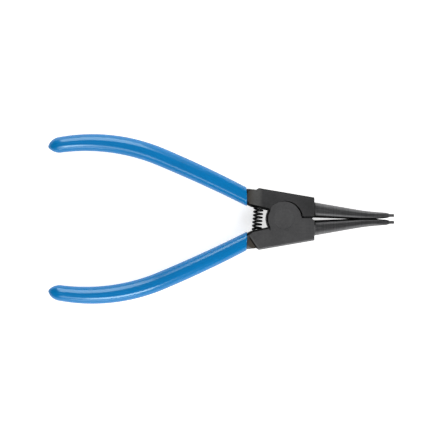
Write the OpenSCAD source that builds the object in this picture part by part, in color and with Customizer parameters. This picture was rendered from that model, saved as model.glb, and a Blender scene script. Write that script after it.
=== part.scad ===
// Straight circlip pliers for external rings.
// The origin is on the pivot axis, in the plane that the pliers rest on when they lie flat.
// +X points to the tips, +Y to the upper handle and +Z up. All sizes are in millimetres.

/* [Head] */
// Thickness of the two lapped halves
head_thickness = 9.6; // [9.2:0.1:12]
// Pivot to the front face of the head
head_front = 15.7; // [13:0.1:20]
// Pivot to the back corners of the head
head_back = 12.9; // [12:0.1:15]
// Midline to the front corners of the head
head_front_half = 11.1; // [10:0.1:14]
// Midline to the back corners of the head
head_back_half = 16; // [15:0.1:19]
// Chamfer along the outer edges of the head
head_chamfer = 0.8; // [0.3:0.1:1.2]
// Diameter of the disc of each half at the lap
disc_d = 18.2; // [15:0.1:20]
// Chamfer on the rim of the disc and of its recess
disc_chamfer = 0.15; // [0.1:0.05:0.6]
// Midline to the slit between the two halves in front of the disc, on the top face
slit_offset = 0.85; // [0.6:0.05:1.2]
// Width of that slit
slit_gap = 0.8; // [0.3:0.05:1]
// Length of the bevel at the front end of the slit
mouth_bevel = 1.7; // [0.8:0.1:3]

/* [Neck] */
// Height of the step from each back corner of the head down to the neck
neck_step = 0.9; // [0.4:0.05:1.5]
// Length of that step
neck_step_length = 1.4; // [0.6:0.1:2]
// Gap between the necks where they leave the disc
neck_gap = 8.5; // [7:0.1:10]
// Pivot to the knee in the inner edge of the neck
knee_x = 16.8; // [15.5:0.1:18]
// Midline to the knee in the inner edge of the neck
knee_y = 6.25; // [5.5:0.05:7]
// Chamfer along the inner edges of the neck
neck_chamfer = 0.7; // [0.3:0.1:1]
// Pivot to the crease across the face beside the disc, at the inner edge
crease_inner_x = 17.7; // [14:0.1:18.5]
// Pivot to the crease across the face beside the disc, at the outer edge
crease_outer_x = 13.4; // [12:0.1:16]
// Pivot to the crease across the face beside the recess
ramp_x = 10.3; // [10:0.1:14]
// Length of the ramps from the faces of the head down to the neck
ramp_length = 4.2; // [2:0.1:5]

/* [Jaws] */
// Pivot to the ends of the tip pins
jaw_reach = 57.6; // [50:0.1:75]
// Diameter of each jaw at the head
jaw_root_d = 8.1; // [6.5:0.1:8.8]
// Diameter of each jaw at its bend
jaw_bend_d = 4.2; // [3.6:0.1:5.5]
// Diameter of each jaw behind the shoulder of its pin
jaw_end_d = 2.9; // [2.3:0.1:3.4]
// Midline to the axis of each jaw at the head
jaw_root_offset = 4.7; // [4.2:0.1:6]
// Pivot to the bend of the jaws
jaw_bend = 43.5; // [36:0.5:44]
// Length over which the jaws bend
jaw_bend_length = 12; // [4:0.5:14]
// Fillet between each jaw and the head
jaw_fillet = 0.5; // [0.2:0.1:0.8]
// Diameter of the tip pins
tip_d = 1.7; // [0.9:0.1:2]
// Length of the tip pins
tip_length = 2.6; // [1.5:0.1:4]
// Distance between the axes of the closed tip pins
tip_spacing = 3.6; // [3:0.1:5]
// Length of the shoulder cone behind each tip pin
tip_shoulder = 1.6; // [0.8:0.1:3]

/* [Handles] */
// Pivot to the rear ends of the grips
handle_reach = 122.4; // [105:0.1:140]
// Pivot to the front edges of the grips
rim_x = 19.1; // [18.8:0.1:22]
// Midline to the axis of each handle at the front edge of its grip
rim_y = 11.5; // [11:0.1:13]
// Slope of the handles at the front edges of the grips, in degrees
shank_angle = 27.1; // [24:0.1:29]
// Slope of the handles where the bow begins, in degrees
bow_angle = 22.7; // [18:0.1:23.5]
// Length of the handles from the front edge of the grip to the bow
shank_length = 49.3; // [40:0.1:60]
// Radius of the bow at the axis of the handle
bow_r = 96.5; // [80:0.5:130]

/* [Grips] */
// Width of the grips at their front edges
grip_front_w = 8.9; // [8.2:0.1:9.4]
// Width of the grips at their widest place
grip_belly_w = 9.7; // [8.8:0.1:12]
// Width of the grips where the nose begins
grip_rear_w = 8; // [6.5:0.1:10]
// Distance along the handle from the front edge to the widest place
grip_belly = 56; // [40:1:70]
// Thickness of the grips
grip_thickness = 9.6; // [8.6:0.1:10]
// Share of the width that is flat on the faces of the grips, at the front
flat_front = 0.42; // [0.2:0.02:0.6]
// Share of the width that is flat on the faces of the grips, at the rear
flat_rear = 0.26; // [0.1:0.02:0.6]
// Share of the thickness that is flat on the sides of the grips
side_flat = 0.32; // [0.1:0.02:0.6]
// Wall of the grips round the steel
grip_wall = 0.8; // [0.5:0.1:1.2]
// Plastic behind the end of the steel
grip_end_wall = 2.5; // [1.5:0.1:4]
// Length of the rounded nose of the grips, seen from above
grip_nose = 6.2; // [4:0.1:9]
// Length over which the faces of the grips slope down to the end of the nose
grip_nose_slope = 9; // [6:0.1:10]
// Length of the rounded end of the steel inside the grips
tang_nose = 6.5; // [3:0.1:7]
// Rounding of the front edge of the grips
grip_rim_r = 0.4; // [0.1:0.05:0.45]

/* [Rivet] */
// Diameter of the rivet
rivet_d = 6; // [4:0.1:7]
// Diameter of the flush heads of the rivet
rivet_head_d = 10.4; // [8:0.1:12]
// Depth of the heads of the rivet
rivet_head_depth = 2.2; // [1.2:0.1:3]

/* [Return spring] */
// Pivot to the axis of the spring
spring_x = 13.4; // [13:0.1:15]
// Outer diameter of the spring
spring_d = 5.4; // [4.5:0.1:6]
// Diameter of the spring wire
wire_d = 1; // [0.7:0.05:1.2]
// Pitch of the active turns
spring_pitch = 1.76; // [1.4:0.02:2.4]
// Depth of the pockets that hold the ends of the spring
pocket_depth = 3.5; // [2:0.1:5]

/* [Fits] */
// Gap between the lap faces
lap_gap = 0.1; // [0.05:0.01:0.2]
// Mean gap between the disc of one half and the recess of the other
disc_clearance = 0.36; // [0.3:0.02:0.6]
// The recess is set off from the pivot by this much, so that the gap all but closes beside the neck
recess_shift = 0.28; // [0:0.02:0.28]
// Direction in which the recess is set off, in degrees from the tips
recess_shift_angle = -20; // [-40:5:10]
// Gap between the closed halves in front of the disc
jaw_gap = 0.1; // [0.06:0.01:0.3]
// Running gap round the rivet
rivet_clearance = 0.05; // [0.02:0.01:0.1]
// Gap round the spring in its pockets
spring_clearance = 0.2; // [0.1:0.05:0.5]
// Gap between the ends of the spring and the floors of its pockets
spring_seat_gap = 0.05; // [0.02:0.01:0.2]
// Gap between a grip and the steel inside it
grip_clearance = 0.05; // [0.02:0.01:0.1]

/* [Hidden] */
$fn = 64;

steel_colour = [0.27, 0.27, 0.28];
spring_colour = [0.08, 0.08, 0.09];
grip_colour = [0.02, 0.44, 0.71];

// Cutters run this far past the faces that they open.
cut_over = 1;
// Solids that become one piece run this far into each other.
embed = 1;
// The ring sections of the handles and of the jaws have this many points.
handle_points = 24;
jaw_points = 32;
// The higher this is, the sharper are the edges between the facets of a handle.
edge_power = 11;
// 2 makes the neck's section an ellipse, and a higher value squares it.
squareness = 2.7;
// The nose of a handle is this power of an ellipse, so below 0.5 is blunt and above it is pointed.
nose_power = 0.7;
// The flats of a grip fade out this much faster than its nose gets thinner.
nose_rounding = 1.6;

mid_z = head_thickness / 2;
disc_r = disc_d / 2;
recess_r = disc_r + disc_clearance;
recess_centre = recess_shift * [cos(recess_shift_angle), sin(recess_shift_angle)];
// The halves overlap in front of the disc, each with a tongue under or over the other's slit.
slit_edge = slit_offset + slit_gap / 2;
tongue_edge = slit_offset - slit_gap / 2;

// The steel inside a grip, and the neck that stands a little proud of it.
tang_thickness = grip_thickness - 2 * grip_wall - 2 * grip_clearance;
neck_margin = 0.15;
neck_thickness = tang_thickness + 2 * neck_margin;
neck_drop = (head_thickness - neck_thickness) / 2;
// At the head, the neck's rounding has opened to this many times the head's section, squared this much.
neck_spread = 1.15;
neck_squareness = 8;
neck_rear_x = rim_x - grip_clearance;
neck_rear_half = (tang_w(0) / 2 + neck_margin) / cos(shank_angle);
neck_front_x = head_back + neck_step_length;
neck_outer_y = head_back_half - neck_step;
neck_root_x = sqrt(pow(disc_r - embed / 2, 2) - pow(neck_gap / 2, 2));

// The axis of the upper handle: a slightly curved shank and a round bow, measured rearward from the rim.
shank_r = shank_length / ((shank_angle - bow_angle) * PI / 180);
shank_centre = [-rim_x, rim_y] - shank_r * outward(shank_angle);
bow_centre = shank_centre + (shank_r - bow_r) * outward(bow_angle);
end_angle = asin((-handle_reach - bow_centre.x) / bow_r);
handle_length = shank_length + bow_r * (bow_angle - end_angle) * PI / 180;
tang_length = handle_length - grip_end_wall;
// The sections turn from across X at the rim to square to the handle over this length.
skew_length = 9;

// The jaws.
shoulder_end = jaw_reach - tip_length;
shoulder_start = shoulder_end - tip_shoulder;
tip_chamfer = tip_d / 10;
bend_half = jaw_bend_length / 2;
jaw_slope = (jaw_root_offset - tip_spacing / 2) / (jaw_bend - head_front);

// The spring, from the floor of one pocket to the floor of the other.
pocket_floor_y = neck_inner_y(spring_x) + pocket_depth;
coil_r = (spring_d - wire_d) / 2;
coil_length = 2 * (pocket_floor_y - spring_seat_gap) - wire_d;
end_turns = 1;
end_pitch = 1.05 * wire_d;
active_turns = (coil_length - 2 * end_turns * end_pitch) / spring_pitch;
turns = active_turns + 2 * end_turns;
steps_per_turn = 16;
wire_points = 8;

// Direction away from the midline, square to a handle that slopes by this angle.
function outward(angle) = [sin(angle), cos(angle)];

// 0 to 1 with a level start and end.
function ease(u) = let (v = min(max(u, 0), 1)) v * v * (3 - 2 * v);

// Slope and place of the handle's axis at a distance behind the rim.
function path_angle(s) = s < shank_length
    ? shank_angle - (shank_angle - bow_angle) * s / shank_length
    : bow_angle - (s - shank_length) / bow_r * 180 / PI;
function path_point(s) = s < shank_length
    ? shank_centre + shank_r * outward(path_angle(s))
    : bow_centre + bow_r * outward(path_angle(s));

// Width of a grip, and of the steel in it, before their noses.
function grip_w(s) = s < grip_belly
    ? grip_belly_w - (grip_belly_w - grip_front_w) * pow(1 - s / grip_belly, 2)
    : grip_belly_w - (grip_belly_w - grip_rear_w) * pow((s - grip_belly) / (handle_length - grip_belly), 2);
function tang_w(s) = grip_w(s) - 2 * grip_wall - 2 * grip_clearance;

// Share of the full section that is left at a distance before the end of a rounded nose.
function nose_share(distance, nose) = distance >= nose
    ? 1
    : pow(1 - pow(1 - distance / nose, 2), nose_power);

// Section of a neck: an ellipse squared at its corners.
function neck_section(w, t, power) = [
    for (i = [0 : handle_points - 1])
        let (c = cos(360 * i / handle_points), s = sin(360 * i / handle_points))
            [sign(c) * w / 2 * pow(abs(c), 2 / power), sign(s) * t / 2 * pow(abs(s), 2 / power)]
];

// Section of a handle: eight flats with rounded edges between them, or with a full rounding an ellipse.
function flat_share(s) = flat_front + (flat_rear - flat_front) * min(max(s / handle_length, 0), 1);
function handle_section(w, t, flat, rounding) = [
    for (i = [0 : handle_points - 1])
        let (c = cos(360 * i / handle_points), s = sin(360 * i / handle_points))
        let (slant = ((1 - side_flat) * abs(c) + (1 - flat) * abs(s)) / (1 - side_flat * flat))
        let (edged = pow(pow(abs(c), edge_power) + pow(abs(s), edge_power) + pow(slant, edge_power), -1 / edge_power))
        let (reach = edged + (1 - edged) * rounding)
            [w / 2 * c * reach, t / 2 * s * reach]
];

// That section set across the upper handle.
function handle_ring(s, w, t, rounding = 0) =
    let (slope = path_angle(s), turn = slope * ease(s / skew_length), p = path_point(s))
    let (side = outward(turn) / cos(slope - turn))
        [
            for (q = handle_section(w, t, flat_share(s), rounding))
                [p.x + q.x * side.x, p.y + q.x * side.y, mid_z + q.y]
        ];

// Distances behind the rim for the rings of a handle, closer together in its nose.
function stations(start, end, nose) = concat(
    [for (i = [0 : 19]) start + (end - nose - start) * i / 20],
    [for (a = [0 : 15 : 75]) end - nose * (1 - sin(a))],
    [end - nose / 100]
);

function grip_outer_ring(s, inset) =
    let (wide = nose_share(handle_length - s, grip_nose), thick = nose_share(handle_length - s, grip_nose_slope))
    let (rounding = min(nose_rounding * (1 - thick), 1))
        handle_ring(s, grip_w(s) * wide - 2 * inset, grip_thickness * thick - 2 * inset, rounding);

// The steel in the grip, or with a margin the cavity round it.
function tang_ring(s, margin) =
    let (share = nose_share(tang_length + margin - s, tang_nose))
        handle_ring(s, (tang_w(s) + 2 * margin) * share, (tang_thickness + 2 * margin) * share);

// Axis and radius of the upper jaw.
function jaw_y(x) =
    x < jaw_bend - bend_half ? tip_spacing / 2 + jaw_slope * (jaw_bend - x)
    : x > jaw_bend + bend_half ? tip_spacing / 2
    : tip_spacing / 2 + jaw_slope * pow(jaw_bend + bend_half - x, 2) / (2 * jaw_bend_length);
function jaw_r(x) = x < jaw_bend
    ? (jaw_root_d + (jaw_bend_d - jaw_root_d) * (x - head_front) / (jaw_bend - head_front)) / 2
    : (jaw_bend_d + (jaw_end_d - jaw_bend_d) * (x - jaw_bend) / (shoulder_start - jaw_bend)) / 2;
function round_ring(x, y, r) = [
    for (i = [0 : jaw_points - 1])
        [x, y + r * cos(360 * i / jaw_points), mid_z + r * sin(360 * i / jaw_points)]
];
// A flare widens the jaw everywhere but beside the midline.
function jaw_ring(x, flare = 0) = round_ring(x, jaw_y(x) + flare / 2, jaw_r(x) + flare / 2);

// Section that the neck keeps within, from that of the steel in the grip to all of the head.
function neck_ring(u) =
    let (head_half = (neck_outer_y - neck_inner_y(neck_front_x)) / 2)
    let (y = rim_y + (neck_outer_y - head_half - rim_y) * u)
    let (w = 2 * (neck_rear_half + (neck_spread * head_half - neck_rear_half) * u))
    let (t = neck_thickness + (neck_spread * head_thickness - neck_thickness) * u)
        [
            for (q = neck_section(w, t, squareness + (neck_squareness - squareness) * u))
                [-neck_rear_x + (neck_rear_x - neck_front_x) * u, y + q.x, mid_z + q.y]
        ];

// Inner edge of the upper neck, from the disc to the knee.
function neck_inner_y(x) = neck_gap / 2 + (knee_y - neck_gap / 2) * (x - neck_root_x) / (knee_x - neck_root_x);

// Height of the spring's wire along the spring's axis after this many turns.
function coil_y(t) =
    t < end_turns ? t * end_pitch
    : t > turns - end_turns ? coil_length - (turns - t) * end_pitch
    : end_turns * end_pitch + (t - end_turns) * spring_pitch;
function wire_ring(t) = [
    for (i = [0 : wire_points - 1])
        let (a = 360 * i / wire_points, r = coil_r + wire_d / 2 * cos(a))
            [r * cos(360 * t), coil_y(t) + wire_d / 2 * sin(a), r * sin(360 * t)]
];

function backwards(list) = [for (i = [len(list) - 1 : -1 : 0]) list[i]];

// A closed solid through rings of equally many points, each ring counter-clockwise seen from the next.
module loft(rings) {
    n = len(rings[0]);
    last = len(rings) - 1;
    polyhedron(
        points = [for (ring = rings) each ring],
        faces = concat(
            [[for (i = [0 : n - 1]) i]],
            [
                for (k = [0 : last - 1], i = [0 : n - 1])
                    let (j = (i + 1) % n)
                        each [
                            [k * n + i, (k + 1) * n + i, k * n + j],
                            [k * n + j, (k + 1) * n + i, (k + 1) * n + j]
                        ]
            ],
            [backwards([for (i = [0 : n - 1]) last * n + i])]
        )
    );
}

// Turns a piece of the upper arm over, to its twin on the lower arm.
module turned_over() {
    translate([0, 0, head_thickness]) rotate([180, 0, 0]) children();
}

// Outline of the head and neck of the upper half.
module head_outline() {
    polygon([
        [0, slit_edge],
        [head_front, slit_edge],
        [head_front, head_front_half],
        [-head_back, head_back_half],
        [-neck_front_x, neck_outer_y],
        [-neck_rear_x, rim_y + neck_rear_half],
        [-neck_rear_x, rim_y - neck_rear_half],
        [-knee_x, knee_y],
        [-neck_root_x, neck_gap / 2]
    ]);
}

// Outline of the tongue that the upper half has under the slit.
module tongue_outline() {
    polygon([
        [0, -tongue_edge],
        [head_front - mouth_bevel, -tongue_edge],
        [head_front, jaw_root_offset - jaw_root_d / 2],
        [head_front, slit_edge + embed],
        [0, slit_edge + embed]
    ]);
}

// Cuts a bevel along the top edge from the first point to the second, on the left of that line.
module edge_bevel(from, to, size) {
    run = to - from;
    angle = atan2(run.y, run.x);
    translate([from.x, from.y, head_thickness])
        rotate([0, 0, angle])
            translate([-cut_over, 0, 0])
                rotate([90, 0, 90])
                    linear_extrude(norm(run) + 2 * cut_over)
                        polygon([[-size, cut_over], [-size, 0], [0, -size], [cut_over, -size], [cut_over, cut_over]]);
}

// Cuts the ramp behind a crease on the top face, from the head's level down to the neck's.
module ramp_cut(inner_x, outer_x) {
    crease = [inner_x - outer_x, neck_outer_y - knee_y];
    reach = head_back_half + rim_x;
    translate([-inner_x, knee_y, head_thickness])
        rotate([0, 0, atan2(crease.y, crease.x) - 90])
            translate([0, reach, 0])
                rotate([90, 0, 0])
                    linear_extrude(2 * reach)
                        polygon([
                            [0, 0],
                            [-ramp_length, -neck_drop],
                            [-reach, -neck_drop],
                            [-reach, cut_over],
                            [0, cut_over]
                        ]);
}

// Carries what is cut in the top face over to the bottom face.
module to_bottom_face() {
    translate([0, 0, head_thickness]) mirror([0, 0, 1]) children();
}

module outer_bevels() {
    edge_bevel([-head_back, head_back_half], [head_front, head_front_half], head_chamfer);
    edge_bevel([-neck_root_x, neck_gap / 2], [-knee_x, knee_y], neck_chamfer);
}

module head_plate() {
    difference() {
        union() {
            linear_extrude(head_thickness) head_outline();
            linear_extrude(mid_z - lap_gap / 2) tongue_outline();
        }
        outer_bevels();
        to_bottom_face() outer_bevels();
        ramp_cut(ramp_x, ramp_x);
        to_bottom_face() ramp_cut(crease_inner_x, crease_outer_x);
    }
}

// The space that the head and its rounded neck keep within.
module head_envelope() {
    translate([-neck_front_x, -disc_d, -cut_over])
        cube([neck_front_x + head_front + cut_over, 2 * disc_d + head_back_half, head_thickness + 2 * cut_over]);
    loft([for (u = [-0.2 : 0.2 : 1.1]) neck_ring(u)]);
}

// The disc of the upper half lies under the lap.
module lap_disc() {
    cylinder(r1 = disc_r - disc_chamfer, r2 = disc_r, h = disc_chamfer);
    translate([0, 0, disc_chamfer]) cylinder(r = disc_r, h = mid_z - lap_gap / 2 - disc_chamfer);
}

// Room above the lap for the other half's disc.
module lap_recess() {
    translate([recess_centre.x, recess_centre.y, mid_z - lap_gap / 2]) cylinder(r = recess_r, h = head_thickness);
    translate([recess_centre.x, recess_centre.y, head_thickness - disc_chamfer])
        cylinder(r1 = recess_r, r2 = recess_r + disc_chamfer + cut_over, h = disc_chamfer + cut_over);
}

// The lower head of the rivet, or with a margin the countersink for it.
module rivet_head(margin) {
    cylinder(d1 = rivet_head_d + 2 * margin, d2 = rivet_d + 2 * margin, h = rivet_head_depth);
}

module rivet_hole() {
    translate([0, 0, -cut_over]) {
        cylinder(d = rivet_d + 2 * rivet_clearance, h = head_thickness);
        cylinder(d = rivet_head_d + 2 * rivet_clearance, h = cut_over);
    }
    rivet_head(rivet_clearance);
}

module spring_pocket() {
    translate([-spring_x, 0, mid_z])
        rotate([-90, 0, 0])
            cylinder(d = spring_d + 2 * spring_clearance, h = pocket_floor_y);
}

// The bent, tapered jaw, ground flat where it meets its twin.
module jaw() {
    bend_xs = [for (i = [0 : 6]) jaw_bend - bend_half + jaw_bend_length * i / 6];
    difference() {
        loft(concat(
            [
                jaw_ring(head_front - embed),
                jaw_ring(head_front, jaw_fillet),
                jaw_ring(head_front + jaw_fillet / 3, jaw_fillet / 3),
                jaw_ring(head_front + jaw_fillet)
            ],
            [for (x = bend_xs) jaw_ring(x)],
            [
                jaw_ring(shoulder_start),
                round_ring(shoulder_end, tip_spacing / 2, tip_d / 2 + tip_chamfer)
            ]
        ));
        translate([0, -jaw_root_d, -cut_over])
            cube([jaw_reach, jaw_root_d + jaw_gap / 2, head_thickness + 2 * cut_over]);
    }
}

module tip_pin() {
    translate([shoulder_end - embed, tip_spacing / 2, mid_z])
        rotate([0, 90, 0]) {
            cylinder(d = tip_d, h = embed + tip_length - tip_chamfer);
            translate([0, 0, embed + tip_length - tip_chamfer])
                cylinder(d1 = tip_d, d2 = tip_d - 2 * tip_chamfer, h = tip_chamfer);
        }
}

module tang() {
    loft([for (s = backwards(stations(-2 * embed, tang_length, tang_nose))) tang_ring(s, 0)]);
}

module plier_half() {
    difference() {
        union() {
            intersection() {
                head_plate();
                head_envelope();
            }
            lap_disc();
        }
        lap_recess();
        rivet_hole();
        spring_pocket();
    }
    jaw();
    tip_pin();
    tang();
}

module grip() {
    loft(concat(
        [for (s = backwards(stations(grip_rim_r, handle_length, max(grip_nose, grip_nose_slope)))) grip_outer_ring(s, 0)],
        [for (a = [30 : 30 : 90]) grip_outer_ring(grip_rim_r * (1 - sin(a)), grip_rim_r * (1 - cos(a)))],
        [for (s = stations(0, tang_length + grip_clearance, tang_nose)) tang_ring(s, grip_clearance)]
    ));
}

module lower_half() { color(steel_colour) turned_over() plier_half(); }

module upper_half() { color(steel_colour) plier_half(); }

module pivot_rivet() {
    color(steel_colour) {
        cylinder(d = rivet_d, h = head_thickness);
        rivet_head(0);
        turned_over() rivet_head(0);
    }
}

module return_spring() {
    color(spring_colour)
        translate([-spring_x, -coil_length / 2, mid_z])
            loft([for (k = [0 : round(turns * steps_per_turn)]) wire_ring(min(k / steps_per_turn, turns))]);
}

module lower_grip() { color(grip_colour) turned_over() grip(); }

module upper_grip() { color(grip_colour) grip(); }

lower_half();
upper_half();
pivot_rivet();
return_spring();
lower_grip();
upper_grip();
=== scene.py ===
"""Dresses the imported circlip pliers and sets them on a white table, seen from straight above.

The forged halves and the rivet are edge-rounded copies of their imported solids. The dipped grips and the
return spring are made by Geometry Nodes from the rules that their shapes follow. All sizes named *_mm are in
millimetres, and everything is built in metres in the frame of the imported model.
"""

import logging
import math
from collections.abc import Callable
from dataclasses import dataclass
from enum import Enum
from functools import cached_property
from typing import Union

import bmesh
import bpy
from mathutils import Matrix, Vector

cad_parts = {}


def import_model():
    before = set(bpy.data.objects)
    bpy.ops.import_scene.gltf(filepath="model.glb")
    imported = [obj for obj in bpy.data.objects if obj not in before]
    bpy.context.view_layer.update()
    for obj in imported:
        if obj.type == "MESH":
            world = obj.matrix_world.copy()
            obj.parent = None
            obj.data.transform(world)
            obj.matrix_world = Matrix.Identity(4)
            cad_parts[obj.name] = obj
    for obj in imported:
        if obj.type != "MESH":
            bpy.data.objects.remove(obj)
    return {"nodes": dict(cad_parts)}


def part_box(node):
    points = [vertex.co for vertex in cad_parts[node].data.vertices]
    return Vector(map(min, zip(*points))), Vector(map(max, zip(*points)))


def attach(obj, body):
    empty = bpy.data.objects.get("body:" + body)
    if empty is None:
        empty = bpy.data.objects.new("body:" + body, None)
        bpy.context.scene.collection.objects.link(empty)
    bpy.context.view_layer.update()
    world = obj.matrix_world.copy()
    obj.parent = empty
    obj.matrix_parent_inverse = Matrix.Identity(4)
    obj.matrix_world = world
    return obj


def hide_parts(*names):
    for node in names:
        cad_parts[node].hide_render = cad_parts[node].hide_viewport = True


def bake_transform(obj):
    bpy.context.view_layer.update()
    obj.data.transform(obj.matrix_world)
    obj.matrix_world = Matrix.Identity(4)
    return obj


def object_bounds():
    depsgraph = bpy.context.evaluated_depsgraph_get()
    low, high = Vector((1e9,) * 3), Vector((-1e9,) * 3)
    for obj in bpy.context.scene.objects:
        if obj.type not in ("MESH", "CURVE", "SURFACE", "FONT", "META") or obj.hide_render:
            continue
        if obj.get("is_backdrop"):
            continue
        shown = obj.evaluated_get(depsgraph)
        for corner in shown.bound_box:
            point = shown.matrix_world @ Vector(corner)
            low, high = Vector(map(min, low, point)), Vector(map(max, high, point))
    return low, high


log = logging.getLogger("pliers")

MM = 0.001

# What the units in the names of sizes are in metres and radians.
UNITS = {"mm": MM, "deg": math.radians(1.0)}

SAME_PLACE_MM = 0.002
SEAM_MM = 0.001
SLIVER_EDGE_MM = 0.03
SLIVER_FACE_MM = 0.005
THIN_FACE_MM = 0.004
ONE_PLANE_DEG = 0.4
NEEDLE_DEG = 30.0

# A Mix node has sockets for every data type: these are the share, the two colours and the mixed colour.
MIX_INPUTS = (0, 6, 7)
MIX_RESULT = 2

Socket = bpy.types.NodeSocket
Piece = bpy.types.Object
Form = bmesh.types.BMesh
MeshStep = Callable[[Form], None]
Tone = tuple[int, int, int]
Colour = tuple[float, float, float, float]
Place = tuple[float, float, float]
Span = tuple[float, float]
Number = Union[float, "Field"]
Spot = tuple["Field", "Field", "Field"]

WHITE: Colour = (1.0, 1.0, 1.0, 1.0)


def linear(tone: Tone) -> Colour:
    """Turns a colour as a screen shows it into the scene's linear light.

    Args:
        tone: Red, green and blue from 0 to 255.

    Returns:
        The linear colour with full alpha.
    """

    def channel(value: int) -> float:
        """Linear light of one channel."""
        share = value / 255
        return share / 12.92 if share <= 0.04045 else ((share + 0.055) / 1.055) ** 2.4

    return (*map(channel, tone), 1.0)


class Arm(Enum):
    """The two arms of the pliers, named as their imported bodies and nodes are."""

    LOWER = "lower"
    UPPER = "upper"

    @property
    def body(self) -> str:
        """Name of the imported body."""
        return f"{self.value}_arm"

    def node(self, part: str) -> str:
        """Name of this arm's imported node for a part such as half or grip."""
        return f"{self.value}_{part}"


class Blend(Enum):
    """How two colours are put together."""

    MIX = "MIX"
    MULTIPLY = "MULTIPLY"


@dataclass(frozen=True)
class Field:
    """A number that varies over a geometry or a surface, written as Math nodes by plain arithmetic."""

    tree: bpy.types.NodeTree
    socket: Socket

    def math(self, operation: str, *others: Number) -> "Field":
        """Adds one Math node that starts with this number.

        Args:
            operation: Name of the Math node's operation.
            others: The node's other inputs, in order.

        Returns:
            The node's result.
        """
        node = self.tree.nodes.new("ShaderNodeMath")
        node.operation = operation
        for socket, value in zip(node.inputs, (self, *others)):
            if isinstance(value, Field):
                self.tree.links.new(value.socket, socket)
            else:
                socket.default_value = value
        return Field(self.tree, node.outputs[0])

    def __add__(self, other: Number) -> "Field":
        """Sum."""
        return self.math("ADD", other)

    def __sub__(self, other: Number) -> "Field":
        """Difference."""
        return self.math("SUBTRACT", other)

    def __mul__(self, other: Number) -> "Field":
        """Product."""
        return self.math("MULTIPLY", other)

    def __truediv__(self, other: Number) -> "Field":
        """Quotient."""
        return self.math("DIVIDE", other)

    def __pow__(self, other: Number) -> "Field":
        """Power."""
        return self.math("POWER", other)

    def less_from(self, total: float) -> "Field":
        """What is left of a total after this number is taken away."""
        return self * -1.0 + total

    def at_most(self, limit: Number) -> "Field":
        """The smaller of this number and a limit."""
        return self.math("MINIMUM", limit)

    def at_least(self, limit: Number) -> "Field":
        """The larger of this number and a limit."""
        return self.math("MAXIMUM", limit)

    def clamped(self) -> "Field":
        """This number, held between 0 and 1."""
        return self.at_least(0.0).at_most(1.0)

    def size(self) -> "Field":
        """This number without its sign."""
        return self.math("ABSOLUTE")

    def sine(self) -> "Field":
        """Sine of this angle in radians."""
        return self.math("SINE")

    def cosine(self) -> "Field":
        """Cosine of this angle in radians."""
        return self.math("COSINE")

    def eased(self) -> "Field":
        """This share from 0 to 1, with a level start and end."""
        share = self.clamped()
        return share * share * (share * -2.0 + 3.0)

    def ramp(self, span: Span, unit: float = 1.0) -> "Field":
        """Share from 0 where this number is at a span's start to 1 at its end, eased at both.

        Args:
            span: The start and the end.
            unit: What one unit of the span is in the tree, such as a millimetre.

        Returns:
            The share.
        """
        start, end = (value * unit for value in span)
        return ((self - start) / (end - start)).eased()


class Tree:
    """A node tree that is written one named node at a time."""

    def __init__(self, nodes: bpy.types.NodeTree) -> None:
        """Starts writing an empty or new tree."""
        self.tree = nodes

    def add(self, kind: str, settings: dict | None = None, **inputs: object) -> bpy.types.Node:
        """Adds a node.

        Args:
            kind: Blender's name of the node's type.
            settings: Properties of the node itself.
            inputs: Values or sockets for its inputs, by name with underscores for spaces.

        Returns:
            The node.
        """
        node = self.tree.nodes.new(kind)
        for name, value in (settings or {}).items():
            setattr(node, name, value)
        for name, value in inputs.items():
            self.feed(node.inputs[name.replace("_", " ")], value)
        return node

    def feed(self, socket: Socket, value: object) -> None:
        """Links a socket or field to an input, or sets the input to a plain value.

        Args:
            socket: The input.
            value: What it gets.
        """
        source = value.socket if isinstance(value, Field) else value
        if isinstance(source, Socket):
            self.tree.links.new(source, socket)
        else:
            socket.default_value = source

    def field(self, socket: Socket) -> Field:
        """A socket as a number to reckon with."""
        return Field(self.tree, socket)

    def axes(self, vector: Socket) -> Spot:
        """A vector's three numbers."""
        split = self.add("ShaderNodeSeparateXYZ", Vector=vector)
        return tuple(self.field(split.outputs[axis]) for axis in "XYZ")

    def vectors(self, operation: str, *vectors: Socket) -> bpy.types.Node:
        """Adds one Vector Math node.

        Args:
            operation: Name of the node's operation.
            vectors: Its inputs, in order.

        Returns:
            The node.
        """
        node = self.add("ShaderNodeVectorMath", {"operation": operation})
        for socket, vector in zip(node.inputs, vectors):
            self.feed(socket, vector)
        return node


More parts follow.
